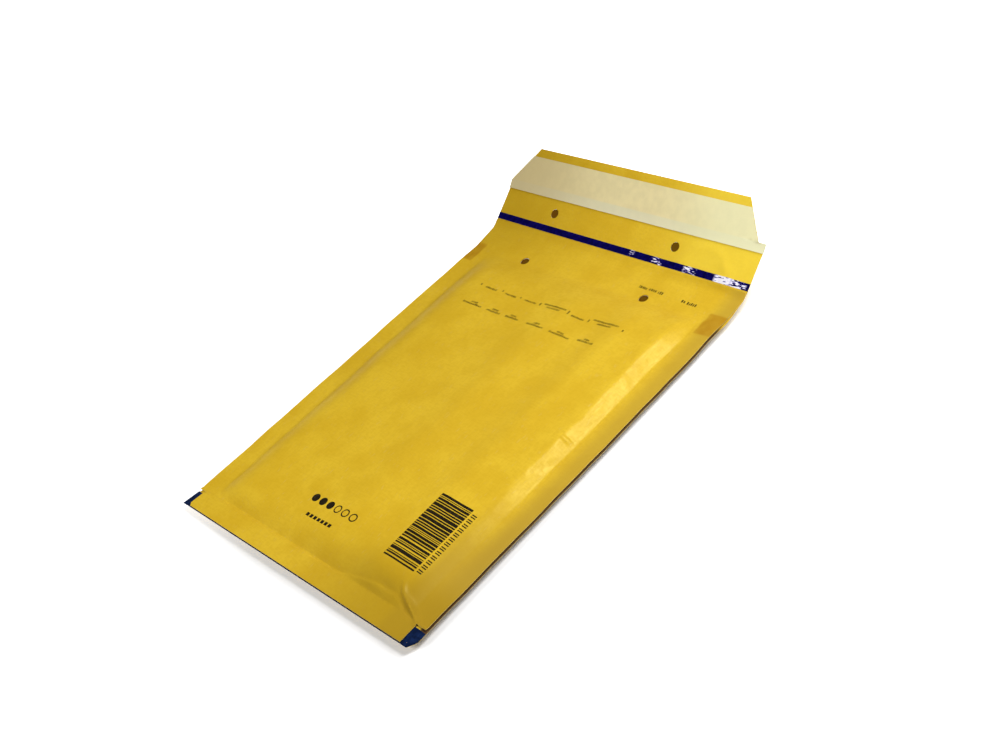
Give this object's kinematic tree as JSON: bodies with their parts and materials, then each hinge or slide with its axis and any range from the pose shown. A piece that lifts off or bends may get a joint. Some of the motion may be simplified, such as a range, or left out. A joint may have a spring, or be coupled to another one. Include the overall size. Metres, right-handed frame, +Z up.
{
  "type": "padded envelope",
  "caption": "Kraft padded envelope lined with bubble film, lying flat with its tapered flap raised, a blue tear strip across the mouth and a release liner on the flap.",
  "frame": {"origin": "on the table, under the middle of the outline's box", "axes": "+X across the envelope, +Y from the bottom edge towards the flap, +Z up through the printed side"},
  "size_m": [0.17, 0.2584, 0.0345],
  "materials": {
    "kraft": "golden kraft paper, slightly glossy",
    "bubble_film": "clear bubble film",
    "blue_film": "glossy dark blue film",
    "adhesive": "tacky hot melt",
    "liner": "siliconed release paper"
  },
  "bodies": {
    "root": {"back_sheet": "kraft", "front_sheet": "kraft", "back_bubble_lining": "bubble_film", "front_bubble_lining": "bubble_film", "tear_strip": "blue_film", "bottom_strip": "blue_film", "adhesive_band": "adhesive", "release_liner": "liner"}
  },
  "joints": []
}
